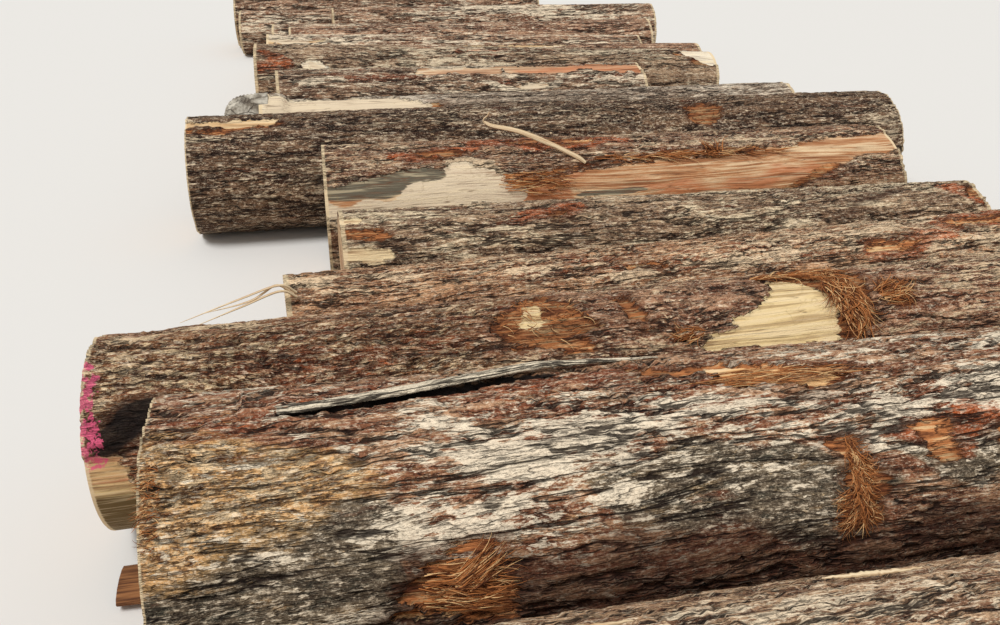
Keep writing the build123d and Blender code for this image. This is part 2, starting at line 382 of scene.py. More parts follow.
def bark_finish(name, hollow, body, plate, lichen, spread, fresh, aged, moss):
    """Bark with all that grows on it, and the wood and inner bark where it is off. The bark's colours
    go from its hollows to its raised plates, and the spread says how much of it the lichen covers."""
    material, start, shader = start_finish(name)
    depth, parts = bark_relief(start)
    bent, flakes, fine = parts["bent"], parts["flakes"], parts["fine"]
    strings, crack = parts["strings"], parts["crack"]
    cloud = bent.noise(1.3, 5, 3, 0.55, 9.3)
    speckle = bent.noise(11, 44, 5, 0.72, 2.2)
    layer = start.math("SINE", parts["whole"] * 2.6 + cloud * 9) * 0.5 + 0.5
    lifted = flakes + fine * 0.5
    colour = (lifted + layer * 0.1).ease(0.36, 0.52).blend(hollow, body)
    colour = colour.tint(plate, (lifted + layer * 0.2 + (speckle - 0.5) * 0.5).ease(0.5, 0.72))
    slate = start.measured("slate") + (cloud - 0.55) * 0.6
    colour = colour.tint((96, 98, 86), (slate + (speckle - 0.5) * 0.5).ease(0.0, 0.3) * 0.75)
    grown_moss = start.measured("mossy") + (cloud - 0.55) * 0.8 + (speckle - 0.5) * 1.6
    colour = colour.tint(moss, grown_moss.ease(0.0, 0.5) * 0.7)
    crumbs = bent.noise(34, 70, 4, 0.7, 14.2)
    crumbled = start.measured("mossy").ease(0.2, 0.8)
    # Painted shade: in the mossy zone the cracks between small plates, which the bump sinks, are darkened.
    small_plates = start.math("ABSOLUTE", bent.noise(15, 56, 4, 0.66, 14.9) - 0.5).ease(0.0, 0.05)
    colour = colour.tint((66, 40, 28), (1 - small_plates) * crumbled * 0.7)
    colour = colour.tint((226, 204, 168), (crumbled * 0.14 + crumbs - 0.64).ease(0.0, 0.06) * 0.85)
    colour = colour.tint((96, 60, 42), (0.34 + crumbled * 0.1 - crumbs).ease(0.0, 0.06) * 0.6)
    rusty = start.measured("rust") * 0.3 + bent.noise(4, 24, 4, 0.62, 12.1) - 0.62
    colour = colour.tint((138, 80, 52), (rusty + fine * 0.2).ease(0.0, 0.1) * 0.6)
    grown = speckle + cloud * 0.7 + flakes * 0.55 + layer * 0.06 + start.measured("pale") * 0.35
    colour = colour.tint(lichen, (grown + (spread - 1.83)).ease(0.0, 0.045) * 0.9)
    flecks = bent.noise(26, 90, 3, 0.7, 6.6) + (cloud - 0.5) * 0.3 + layer * 0.04
    colour = colour.tint(lichen, (flecks - 0.6).ease(0.0, 0.04) * 0.85)
    foxy = start.measured("rust") * 0.4 + bent.noise(13, 56, 4, 0.66, 27.1) - 0.88
    colour = colour.tint((190, 116, 74), foxy.ease(0.0, 0.1) * 0.7)
    # Painted highlight and shade on fine specks: where the bump raises them they are lightened, where it
    # sinks them they are darkened.
    speck_light_and_shade = bent.noise(42, 120, 4, 0.75, 21.3)
    colour = colour.tint((244, 230, 206), (speck_light_and_shade - 0.52).ease(0.0, 0.12) * 0.55)
    colour = colour.tint((34, 22, 16), (0.44 - speck_light_and_shade).ease(0.0, 0.1) * 0.5)
    # Painted highlight and shade on the finest specks: lighter where the bump raises them, darker where it
    # sinks them.
    fine_light_and_shade = start.measured("grain", True).noise(170, 230, 2, 0.8, 33.1)
    colour = colour.tint((246, 232, 208), (fine_light_and_shade - 0.53).ease(0.0, 0.12) * 0.28)
    colour = colour.tint((40, 26, 20), (0.46 - fine_light_and_shade).ease(0.0, 0.12) * 0.32)
    colour = start.node("ShaderNodeGamma", {}, {"Color": colour, "Gamma": 1.2})
    colour = start.node("ShaderNodeHueSaturation", {}, {
        "Hue": 0.496, "Saturation": 1.04, "Value": 1.23, "Color": colour})
    # Painted shade: the fissures, the cracks and the lowest hollows of the bark are darkened nearly to
    # black.
    sunk = parts["fissure"] * (0.9 - start.measured("mossy") * 0.35) + crack * 0.6
    sunk = (sunk + (0.4 - flakes).ease(0.0, 0.12) * 0.3).least(0.9)
    colour = colour.tint((34, 20, 14), sunk)
    # Painted shade: a ragged darker ring of bark round the edge of each torn patch.
    torn_rim_shade = (parts["torn_edge"] + (speckle - 0.5) * 0.16).ease(-0.03, 0.0)
    colour = colour.tint((112, 66, 42), torn_rim_shade * 0.45)
    # Painted shade: where a zone is marked dark, as on the underside of the second log, the bark is darkened
    # to deep red-brown, and where the mark is stronger than one, nearly to black.
    shaded = start.measured("dark") + (speckle - 0.5) * 0.4
    colour = colour.tint((62, 32, 20), shaded.ease(0.1, 0.9) * 0.72)
    colour = colour.tint((24, 20, 18), shaded.ease(1.0, 1.5) * 0.85)
    # Painted shade: the torn inner bark is darker near the edge of its patch than deep inside it.
    deep = parts["torn_edge"].ease(0.0, 0.035)
    blotch = bent.noise(8, 30, 4, 0.65, 15.3)
    inner = (strings * 0.8 + blotch * 0.8 + deep * 0.1).ease(0.66, 0.92)
    inner = inner.blend((112, 62, 36), (208, 134, 80))
    inner = inner.tint((244, 204, 150), (strings * 0.8 + blotch * 0.6 + deep * 0.06).ease(0.74, 0.88))
    inner = inner.tint((84, 42, 22), (0.5 - cloud + (strings - 0.5) * 0.5).ease(-0.06, 0.16) * 0.55)
    # Painted shade in the cracks of the torn inner bark, together with dark blotches of its own colour.
    inner = inner.tint((60, 30, 18), (crack * 0.8 + (0.45 - blotch) * 2.5).most(0.0).least(0.75))
    colour = colour.tint(inner, parts["torn"])
    grey = (start.measured("aged") + (cloud - 0.5) * 0.9 + (strings - 0.5) * 0.9).ease(0.3, 0.7)
    streaks = bent.noise(1.7, 52, 4, 0.62, 23.1) + (blotch - 0.5) * 0.3
    russet = start.measured("rust") + (streaks - 0.5) * 2.2
    wood = ((streaks - 0.5).ease(-0.02, 0.1) * 0.6).blend(fresh, (246, 222, 180))
    wood = wood.tint((196, 112, 68), russet.ease(0.4, 1.0) * 0.75)
    stained = (0.49 - streaks).ease(0.0, 0.1) * (0.45 + russet.ease(0.0, 0.8) * 0.4)
    wood = wood.tint((116, 68, 42), stained)
    # Painted shade: thin dark lines along the grain of the bare wood, drawn as the shade in its fine drying
    # checks.
    check_shade = 1 - start.math("ABSOLUTE", bent.noise(1.4, 48, 2, 0.5, 31.7) - 0.5).ease(0.002, 0.014)
    wood = wood.tint(aged, grey)
    paled = start.measured("pale") + (strings - 0.5) * 1.4 + fine
    wood = wood.tint((228, 208, 178), paled.ease(0.35, 0.6))
    wood = wood.tint((140, 84, 50), (strings + cloud * 0.7 - 0.9).ease(0.0, 0.2) * 0.6)
    wood = wood.tint((248, 226, 184), (0.52 - strings).ease(0.0, 0.16) * 0.35)
    wood = wood.tint((96, 60, 38), check_shade * 0.6)
    scratches = start.math("ABSOLUTE", bent.noise(9, 9, 3, 0.6, 17.5) - 0.5)
    scratched = (1 - scratches.ease(0.0, 0.02)) * bent.noise(6, 16, 2, 0.5, 19.1).ease(0.5, 0.6)
    wood = wood.tint((150, 124, 84), scratched * 0.25)
    colour = colour.tint(wood, parts["bare"])
    # Painted shade: the gap of the split under its lifted lip is darkened nearly to black.
    colour = colour.tint((22, 14, 10), parts["split"].ease(-0.006, -0.002))
    colour = colour.tint((236, 212, 172), (start.measured("rim") + fine * 0.5).ease(0.3, 0.6) * 0.9)
    dabs = start.measured("grain", True).noise(46, 40, 4, 0.7, 29.3)
    painted = start.measured("paint") * 0.42 + dabs - 0.86
    colour = colour.tint((240, 104, 142), painted.ease(0.0, 0.07) * 0.88)
    height = start.measured("depth") - depth + (speckle - 0.5) * 0.002 + small_plates * crumbled * 0.004
    height = height + (speck_light_and_shade - 0.5) * 0.003 + (fine_light_and_shade - 0.5) * 0.001
    set_surface(start, shader, colour, 0.9, height)
    return material


def sawn_finish():
    """Sawn end grain: growth rings, a darker heart, greyed patches, saw marks, and bark around it."""
    material, start, shader = start_finish("sawn_end")
    place = start.measured("place", True)
    across = place.vector("MULTIPLY", (0, 1, 1))
    bend = across.noise(1, 6, 3, 0.5, 0.7) - 0.5
    rings = (across.reach() + bend * 0.02) * 260
    ring = start.math("SINE", rings) * 0.5 + 0.5
    share = start.measured("share")
    cloud = across.noise(1, 9, 4, 0.6, 2.9)
    colour = ring.blend((168, 132, 96), (205, 172, 130))
    heart = (0.55 + bend * 0.3 - share).ease(0.0, 0.12)
    colour = colour.tint((146, 100, 70), heart * 0.55)
    colour = colour.tint((120, 108, 96), (cloud - 0.45).ease(0.0, 0.25) * 0.55)
    marks = place.noise(1, 26, 2, 0.5, 8.1)
    colour = colour.tint((96, 66, 46), (share + bend * 0.06).ease(0.925, 0.945))
    height = ring * 0.0006 + marks * 0.003 + cloud * 0.002
    set_surface(start, shader, colour, 0.8, height)
    return material


sawn = sawn_finish()


def faces_round(rows, columns):
    """Faces that go right round a piece, between rows of points and the rows after them."""
    column = np.arange(columns)
    beside = (column + 1) % columns
    quads = [rows + column, rows + beside, rows + columns + beside, rows + columns + column]
    return np.stack(quads, -1).reshape(-1, 4)


def lay_skin(stem, finish, seen, rows, columns, zones, coarse=1.0, pale_rim=0.016):
    """Lays the bark over a stem, with its two sawn ends, in place of the plain solid. Zones are
    outlines on it, by distance in metres from the left end and degrees from the far side up over
    the top. Some also have the width over which they fade, in metres, and a strength."""
    low, high, ratio = seen
    angles = finer_where_seen(columns + 1, 0, 2 * math.pi, (math.radians(low), math.radians(high)), ratio)
    angles = angles[:-1]
    shares = np.linspace(0, 1, rows)
    rim = [stem.end_run(side, angles, stem.over_bark(np.full(columns, run), angles))
           for side, run in ((0, 0.0), (1, stem.length))]
    runs = rim[0] + (rim[1] - rim[0]) * shares[:, None]
    turned = np.broadcast_to(angles, runs.shape)
    radii = stem.bark_radius(runs, turned)
    aim = stem.outward(angles)
    skin = stem.left + runs[..., None] * stem.along + radii[..., None] * aim
    ring_count = 9
    rings = np.linspace(1, 0, ring_count)[:, None]
    caps = []
    for side, edge in ((0, 0), (1, -1)):
        middle = stem.ends[side][0]
        caps.append(middle + (skin[edge] - middle) * rings[..., None])
    points = np.concatenate([skin.reshape(-1, 3)] + [cap.reshape(-1, 3) for cap in caps])
    faces = []
    materials = []
    parts = ((0, rows, 0), (rows, ring_count, 1), (rows + ring_count, ring_count, 2))
    for first, count, part in parts:
        quads = faces_round((np.arange(count - 1)[:, None] + first) * columns, columns)
        faces.append(quads[:, ::-1] if part == 1 else quads)
        materials.append(np.full(len(faces[-1]), min(part, 1)))
    faces = np.concatenate(faces)
    mesh = bpy.data.meshes.new(stem.node)
    mesh.vertices.add(len(points))
    mesh.vertices.foreach_set("co", points.ravel())
    mesh.loops.add(faces.size)
    mesh.loops.foreach_set("vertex_index", faces.ravel())
    mesh.polygons.add(len(faces))
    mesh.polygons.foreach_set("loop_start", np.arange(len(faces)) * 4)
    mesh.polygons.foreach_set("material_index", np.concatenate(materials))
    mesh.update(calc_edges=True)
    mesh.shade_smooth()

    def over_all(on_skin):
        """Values of the skin, and those of its edges carried over the ends."""
        ends = []
        for edge in (0, -1):
            shape = (ring_count,) + on_skin[edge].shape
            ends.append(np.broadcast_to(on_skin[edge], shape).reshape((-1,) + on_skin.shape[2:]))
        return np.concatenate([on_skin.reshape((-1,) + on_skin.shape[2:])] + ends)

    def keep(name, values, kind="FLOAT"):
        field = mesh.attributes.new(name, kind, "POINT")
        field.data.foreach_set("vector" if kind == "FLOAT_VECTOR" else "value", values.ravel())

    grain = np.stack([runs, radii * np.cos(angles), radii * np.sin(angles)], -1)
    grain = grain / coarse + np.array([3.7, 1.9, 2.3]) * stem.number
    keep("grain", over_all(grain), "FLOAT_VECTOR")
    off = points - stem.left
    keep("place", np.stack([off @ stem.along, off @ stem.far, off @ stem.up], -1), "FLOAT_VECTOR")
    inset = np.concatenate([np.ones(rows * columns), np.repeat(rings, columns), np.repeat(rings, columns)])
    keep("outward", over_all(np.broadcast_to(aim, skin.shape)) * inset[:, None], "FLOAT_VECTOR")
    keep("share", inset)
    girth = float(radii.mean())
    arcs = turned * girth
    sway = 0.05 * np.sin(11 * arcs + 4 * runs + stem.number) + 0.03 * np.sin(31 * arcs - 9 * runs)
    climb = 0.018 * np.sin(8 * runs + 5 * arcs + stem.number) + 0.01 * np.sin(27 * runs - 12 * arcs)
    to_end = np.minimum(runs - rim[0], rim[1] - runs)
    keep("rim", over_all(np.clip(1.5 - to_end / pale_rim, 0, 1)))
    cut_zones = ("bare", "torn", "split")
    crisp_zones = cut_zones + ("paint", "aged")
    for name in crisp_zones + ("pale", "dark", "mossy", "slate", "rust"):
        waviness = 0.35 if name in crisp_zones else 1.6
        nearest = np.full(runs.shape, -1.0)
        for outline, *softness in zones.get(name, ()):
            corners = [(run, math.radians(angle) * girth) for run, angle in outline]
            depth = inside_outline(runs + waviness * sway, arcs + waviness * climb, corners)
            if softness:
                depth = np.clip(depth / softness[0] + 0.5, 0, 1) * softness[1]
            nearest = np.maximum(nearest, depth)
        if name not in cut_zones:
            nearest = np.maximum(nearest, 0)
        keep(name, over_all(nearest))
    piece = bpy.data.objects.new(f"bark_{stem.number:02d}", mesh)
    bpy.context.collection.objects.link(piece)
    mesh.materials.append(finish)
    mesh.materials.append(sawn)
    sink_relief(piece)
    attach(piece, "root")
    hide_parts(stem.node)


# The two nearest logs, sawn hardwood with the bark on. The nearest shows only the top of its back.
# The second is the thickest, carries grey lichen, and was torn in places by the grab.

stem = Stem(1)
finish = bark_finish("bark_grey_tan", (70, 46, 36), (148, 116, 92), (196, 168, 138),
                     (232, 216, 190), 0.55, (220, 190, 145), (150, 138, 124), (156, 122, 96))
lay_skin(stem, finish, (40, 190, 3), 280, 124, {}, 1.05, 0.008)
nearest_stem = stem

stem = Stem(2)
finish = bark_finish("bark_lichened", (66, 38, 27), (144, 102, 77), (186, 152, 122),
                     (234, 222, 200), 0.54, (246, 194, 130), (160, 144, 124), (232, 194, 140))
zones = {
    "torn": [([(0.98, 80), (1.17, 82), (1.31, 85), (1.5, 93), (1.51, 98), (1.42, 104), (1.31, 101),
               (1.19, 95), (1.14, 88), (1.02, 85)],),
             ([(1.37, 127), (1.43, 126), (1.45, 136), (1.45, 147), (1.44, 159), (1.38, 162), (1.35, 157),
               (1.38, 145), (1.36, 138)],),
             (oval(1.62, 129, 0.045, 9),),
             (oval(1.8, 136, 0.035, 6),),
             ([(0.45, 158), (0.49, 149), (0.55, 146), (0.64, 146), (0.63, 151), (0.62, 155), (0.68, 161),
               (0.66, 167), (0.62, 169), (0.5, 168), (0.44, 164)],)],
    "bare": [([(1.16, 85), (1.3, 87), (1.5, 94), (1.43, 101), (1.3, 98), (1.2, 92)],)],
    "split": [([(0.26, 89.5), (0.4, 86.6), (0.5, 84.2), (0.6, 81.8), (0.7, 79.2), (0.86, 75.8),
                (0.7, 82.8), (0.6, 85.8), (0.5, 88.4), (0.4, 90.2), (0.3, 91.2)],)],
    "pale": [([(0.45, 102), (0.9, 100), (0.98, 108), (0.92, 118), (0.6, 120), (0.45, 112)], 0.1, 0.6),
             ([(0.1, 104), (0.34, 103), (0.34, 112), (0.1, 114)], 0.06, 0.8),
             ([(0.3, 128), (0.7, 130), (0.7, 146), (0.3, 142)], 0.1, 0.5),
             ([(1.0, 100), (2.2, 108), (2.2, 122), (1.0, 118)], 0.1, 0.5)],
    "mossy": [([(-0.1, 92), (0.2, 92), (0.3, 118), (0.26, 132), (0.1, 138), (-0.1, 142)], 0.1, 1.0)],
    "slate": [([(0.93, 129), (1.3, 129), (1.38, 139), (1.37, 160), (0.93, 148)], 0.06, 1.0),
              ([(-0.1, 144), (0.1, 139), (0.3, 132), (0.48, 134), (0.48, 182), (-0.1, 182)], 0.05, 1.1),
              ([(1.5, 134), (2.4, 134), (2.4, 152), (1.5, 146)], 0.08, 0.8)],
    "rust": [([(0.1, 76), (0.9, 76), (0.8, 98), (0.1, 98)], 0.15, 0.9),
             (oval(1.63, 128, 0.08, 13), 0.03, 1.1),
             ([(1.0, 101), (2.6, 101), (2.6, 114), (1.0, 112)], 0.1, 0.6)],
    # The underside, which is in shade, is painted dark.
    "dark": [([(0.52, 141), (1.03, 154), (1.74, 160), (3.0, 165), (3.0, 230), (0.3, 230), (0.4, 175)],
              0.12, 1.12),
             (oval(1.79, 131, 0.06, 7), 0.05, 0.7)],
}
lay_skin(stem, finish, (60, 200, 3), 470, 190, zones, 1.15, 0.001)


def smooth_line(points, count):
    """Evenly spaced stations on a smooth line through a few points."""
    points = np.array(points, float)
    padded = np.concatenate([[2 * points[0] - points[1]], points, [2 * points[-1] - points[-2]]])
    stations = np.linspace(0, len(points) - 1 - 1e-6, count)
    first = stations.astype(int)
    share = (stations - first)[:, None]
    before, start, stop, after = (padded[first + step] for step in range(4))
    slope = stop - before
    bend = 2 * before - 5 * start + 4 * stop - after
    twist = 3 * start - before - 3 * stop + after
    return 0.5 * (2 * start + slope * share + bend * share**2 + twist * share**3)


def tubes(name, lines, widths, thicknesses, flats, sides, finish, tones=None):
    """Makes strands or slivers along lines: each has its width, thickness and flat side."""
    lines = np.array(lines)
    strands, stations, _ = lines.shape
    ahead = np.gradient(lines, axis=1)
    ahead /= np.linalg.norm(ahead, axis=2, keepdims=True)
    aside = np.cross(ahead, np.broadcast_to(flats, lines.shape))
    aside /= np.linalg.norm(aside, axis=2, keepdims=True)
    raised = np.cross(aside, ahead)
    turns = np.arange(sides) * 2 * math.pi / sides
    across = np.cos(turns)[None, None, :, None] * aside[:, :, None] * np.array(widths)[..., None, None] / 2
    across = across + (np.sin(turns)[None, None, :, None] * raised[:, :, None]
                       * np.array(thicknesses)[..., None, None] / 2)
    points = (lines[:, :, None] + across).reshape(-1, 3)
    first = (np.arange(strands)[:, None, None] * stations + np.arange(stations - 1)[:, None]) * sides
    mesh = bpy.data.meshes.new(name)
    mesh.from_pydata(points.tolist(), [], faces_round(first, sides).tolist())
    mesh.shade_smooth()
    length = np.concatenate([np.zeros((strands, 1)), np.cumsum(np.linalg.norm(
        np.diff(lines, axis=1), axis=2), axis=1)], 1)
    place = np.zeros((strands, stations, sides, 3))
    place[..., 0] = length[..., None] + np.arange(strands)[:, None, None] * 0.37
    place[..., 1:] = (across.reshape(strands, stations, sides, 3) @ np.array([[1, 0], [0, 1], [1, 1]]))
    field = mesh.attributes.new("grain", "FLOAT_VECTOR", "POINT")
    field.data.foreach_set("vector", place.ravel())
    values = {"tone": np.full(strands, 0.5) if tones is None else tones}
    values.update({part: -np.ones(strands) for part in ("bare", "torn", "split")})
    bark_depth = 0.008
    values["depth"] = np.full(strands, bark_depth)
    for part, numbers in values.items():
        field = mesh.attributes.new(part, "FLOAT", "POINT")
        field.data.foreach_set("value", np.repeat(numbers, stations * sides))
    mesh.materials.append(finish)
    piece = bpy.data.objects.new(name, mesh)
    bpy.context.collection.objects.link(piece)
    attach(piece, "root")
    return piece


# Along the top of the thickest log the bark has split from end to end of a long crack, and its far
# lip stands up over the dark gap. The lip is the same bark, and is still joined along its far side.

chance = np.random.default_rng(41)
lip_runs = np.linspace(0.17, 1.1, 60)
lip_angles = np.interp(lip_runs, [0.17, 0.31, 0.5, 0.7, 0.86, 1.1], [85.5, 85.5, 82.5, 78, 74, 69])
lip_height = np.interp(lip_runs, [0.19, 0.3, 0.8, 1.1], [0.004, 0.01, 0.01, -0.004])
lip = stem.on_bark(lip_runs, np.radians(lip_angles), lip_height + chance.normal(0, 0.0005, 60))
lip_width = np.interp(lip_runs, [0.19, 0.25, 0.8, 1.1], [0.012, 0.04, 0.034, 0.008])
lip_width = lip_width * chance.uniform(0.9, 1.08, 60)
lip_finish = bark_finish("bark_lip", (70, 50, 40), (146, 122, 100), (186, 164, 138),
                         (232, 222, 200), 1.0, (220, 190, 150), (170, 156, 136),
                         (160, 140, 110))
piece = tubes("split_lip", [lip], [lip_width], [lip_width * 0.4], stem.outward(np.radians(80)), 8,
              lip_finish)


# Where bark was torn off by the grab, strands of the inner bark hang loose. They are thin, stringy
# fibres, red-brown to orange, that still hold on to the log at one end.

strand_finish, start, shader = start_finish("strands")
tone = start.measured("tone")
grain = start.measured("grain", True)
streak = grain.noise(30, 400, 3, 0.6, 0.4)
colour = (tone + (streak - 0.5) * 0.5).ease(0.1, 0.6).blend((92, 50, 28), (186, 118, 66))
colour = colour.tint((236, 194, 138), (tone + (streak - 0.5) * 0.4).ease(0.66, 0.92))
set_surface(start, shader, colour, 0.85, streak * 0.0006)


def strands(name, stem, count, patch, lean, spread, length, rise, thickness, seed, bend=0.4):
    """Loose strands from an oval patch of a stem: lean is their way round it, in degrees."""
    chance = np.random.default_rng(seed)
    run, angle, half_run, half_angle = patch
    way = chance.uniform(0, 2 * math.pi, count)
    out = np.sqrt(chance.uniform(0, 1, count))
    girth = float(stem.bark_radius(np.array([run]), np.radians([angle]))[0])
    starts = run + half_run * out * np.cos(way)
    rounds = np.radians(angle + half_angle * out * np.sin(way))
    leans = np.radians(lean + chance.normal(0, spread, count))
    reach = chance.uniform(0.4, 1.0, count) * length
    step = np.linspace(0, 1, 7)
    curl = chance.normal(0, bend, (count, 1)) * step**2
    runs = starts[:, None] + reach[:, None] * step * np.cos(leans[:, None] + curl)
    angles = rounds[:, None] + reach[:, None] * step * np.sin(leans[:, None] + curl) / girth
    rises = chance.uniform(0.1, 1, (count, 1)) * rise
    lift = rises * np.sin(step * math.pi * chance.uniform(0.5, 1, (count, 1)))
    points = stem.on_bark(runs, angles, lift - 0.008)
    thick = thickness * chance.uniform(0.5, 1.3, (count, 1)) * (1.15 - step)
    tones = np.clip(chance.normal(0.5, 0.3, count), 0, 1)
    piece = tubes(name, points, thick, thick * 0.6, stem.outward(np.radians(angle)), 4, strand_finish, tones)


strands("tear_strands", stem, 320, (1.41, 141, 0.018, 17), 90, 24, 0.045, 0.012, 0.0022, 1)
strands("tear_right", stem, 120, (1.43, 143, 0.01, 16), 20, 30, 0.03, 0.01, 0.0022, 7)
strands("tear_fan", stem, 160, (1.39, 151, 0.014, 7), 160, 20, 0.06, 0.012, 0.0022, 2)
strands("low_tear_fan", stem, 110, (0.57, 156, 0.03, 4), -38, 7, 0.1, 0.01, 0.0028, 4, 0.1)
strands("low_tear_strands", stem, 200, (0.55, 157, 0.08, 9), 4, 10, 0.08, 0.005, 0.0026, 3, 0.15)
strands("top_tear_strands", stem, 150, (1.3, 94, 0.2, 5), 4, 7, 0.12, 0.005, 0.003, 5, 0.15)
strands("lip_fringe", stem, 90, (0.16, 87, 0.05, 2.5), 188, 20, 0.06, 0.008, 0.0024, 8, 0.3)
strands("left_end_strands", stem, 150, (0.02, 118, 0.02, 16), 165, 24, 0.03, 0.008, 0.0018, 6, 0.2)


# The third log and the fourth, sawn hardwood again. The third has lost its bark in three places and
# has pink marking paint sprayed on its end. The fourth is thinner, with bark in fine layers.

stem = Stem(3)
finish = bark_finish("bark_mossy", (56, 35, 25), (132, 93, 70), (180, 145, 117),
                     (216, 194, 162), 0.52, (236, 208, 152), (112, 92, 58), (140, 104, 70))
zones = {
    "bare": [([(1.57, 134), (1.6, 127), (1.68, 124), (1.78, 115), (1.85, 104), (1.89, 89), (1.95, 82),
               (2.0, 89), (2.05, 106), (2.04, 121), (2.02, 138), (1.86, 140), (1.6, 139)],),
             ([(1.115, 88), (1.175, 88), (1.175, 111), (1.115, 111)],),
             ([(-0.1, 160), (0.05, 159), (0.11, 175), (0.16, 215), (0.1, 260), (-0.1, 270)],)],
    "aged": [([(-0.1, 184), (0.2, 180), (0.2, 280), (-0.1, 280)], 0.04, 1.0)],
    "torn": [([(1.86, 84), (1.93, 74), (2.1, 77), (2.19, 92), (2.16, 109), (2.12, 136), (2.0, 134),
               (2.04, 114), (1.98, 88)],),
             (oval(2.25, 111, 0.06, 10),),
             ([(1.03, 101), (1.12, 80), (1.2, 76), (1.28, 90), (1.32, 112), (1.3, 125), (1.21, 128),
               (1.1, 125), (1.03, 119)],),
             (oval(1.45, 104, 0.035, 13),)],
    "dark": [([(-0.1, 146), (0.03, 142), (0.08, 136), (0.16, 140), (0.16, 158), (-0.1, 160)], 0.05, 2.0)],
    "mossy": [([(-0.1, 84), (1.0, 88), (1.0, 150), (-0.1, 150)], 0.3, 0.8)],
    "rust": [([(0.3, 92), (1.0, 92), (1.0, 150), (0.3, 150)], 0.3, 0.8),
             ([(-0.1, 158), (0.2, 158), (0.2, 182), (-0.1, 182)], 0.06, 0.7)],
    "paint": [([(-0.1, 90), (0.02, 92), (0.032, 125), (0.03, 166), (-0.1, 168)], 0.03, 1.0)],
    "pale": [([(0.1, 78), (0.5, 78), (0.5, 90), (0.1, 88)], 0.05, 0.9),
             ([(2.3, 70), (3.8, 70), (3.8, 130), (2.3, 130)], 0.3, 0.7)],
}
lay_skin(stem, finish, (60, 200, 3), 420, 140, zones, 1.0, 0.008)
strands("cream_patch_strands", stem, 300, (2.1, 106, 0.055, 24), 95, 16, 0.12, 0.018, 0.004, 11)
strands("cream_patch_rim", stem, 160, (1.98, 80, 0.13, 5), 8, 22, 0.12, 0.014, 0.004, 12)
strands("cream_patch_tail", stem, 90, (2.24, 110, 0.05, 8), -10, 30, 0.11, 0.014, 0.004, 13)
strands("round_patch_strands", stem, 90, (1.17, 104, 0.14, 19), 20, 40, 0.05, 0.005, 0.003, 14)
strands("cream_patch_left", stem, 90, (1.58, 126, 0.05, 4), 175, 20, 0.06, 0.006, 0.003, 15)

stem = Stem(4)
finish = bark_finish("bark_layered", (66, 42, 30), (156, 116, 86), (206, 168, 132),
                     (230, 208, 176), 0.59, (226, 190, 140), (150, 130, 110), (140, 118, 84))
zones = {
    "torn": [(oval(2.18, 118, 0.12, 9),), (oval(2.6, 95, 0.15, 10),), (oval(1.24, 112, 0.07, 3),)],
    "pale": [(oval(1.21, 122, 0.07, 5), 0.02, 1.2), (oval(0.2, 96, 0.25, 6), 0.04, 0.6)],
    "rust": [(oval(1.3, 108, 0.6, 14), 0.15, 0.8), (oval(2.2, 116, 0.26, 16), 0.05, 1.3),
             (oval(2.6, 96, 0.3, 18), 0.05, 1.3)],
}
lay_skin(stem, finish, (60, 190, 3), 350, 100, zones, 0.9)


# The three logs behind them, of the same sawn hardwood. The first is short, with cracked grey-green
# bark. The next has its bark torn off in one long band, down to the bare wood. The third is long and
# dark, and stands out at its left end.

stem = Stem(5)
finish = bark_finish("bark_grey_green", (54, 38, 30), (134, 108, 86), (184, 160, 132),
                     (226, 210, 180), 0.61, (238, 214, 168), (160, 140, 116), (122, 102, 78))
zones = {
    "bare": [([(-0.1, 136), (0.16, 137), (0.17, 147), (0.1, 152), (-0.1, 152)],),
             ([(-0.1, 101), (0.07, 102), (0.06, 109), (-0.1, 109)],)],
    "torn": [([(-0.1, 112), (0.15, 115), (0.17, 129), (-0.1, 127)],),
             (oval(0.83, 109, 0.07, 7),),
             (oval(2.73, 108, 0.05, 12),)],
    "dark": [([(1.95, 125), (2.1, 128), (2.35, 108), (2.2, 100)], 0.08, 0.9)],
    "slate": [([(0.2, 95), (1.9, 95), (1.9, 125), (0.2, 125)], 0.2, 0.1)],
    "rust": [(oval(0.83, 109, 0.16, 14), 0.04, 1.3), (oval(2.73, 108, 0.12, 18), 0.04, 1.3)],
}
lay_skin(stem, finish, (60, 190, 3), 290, 96, zones, 1.15)

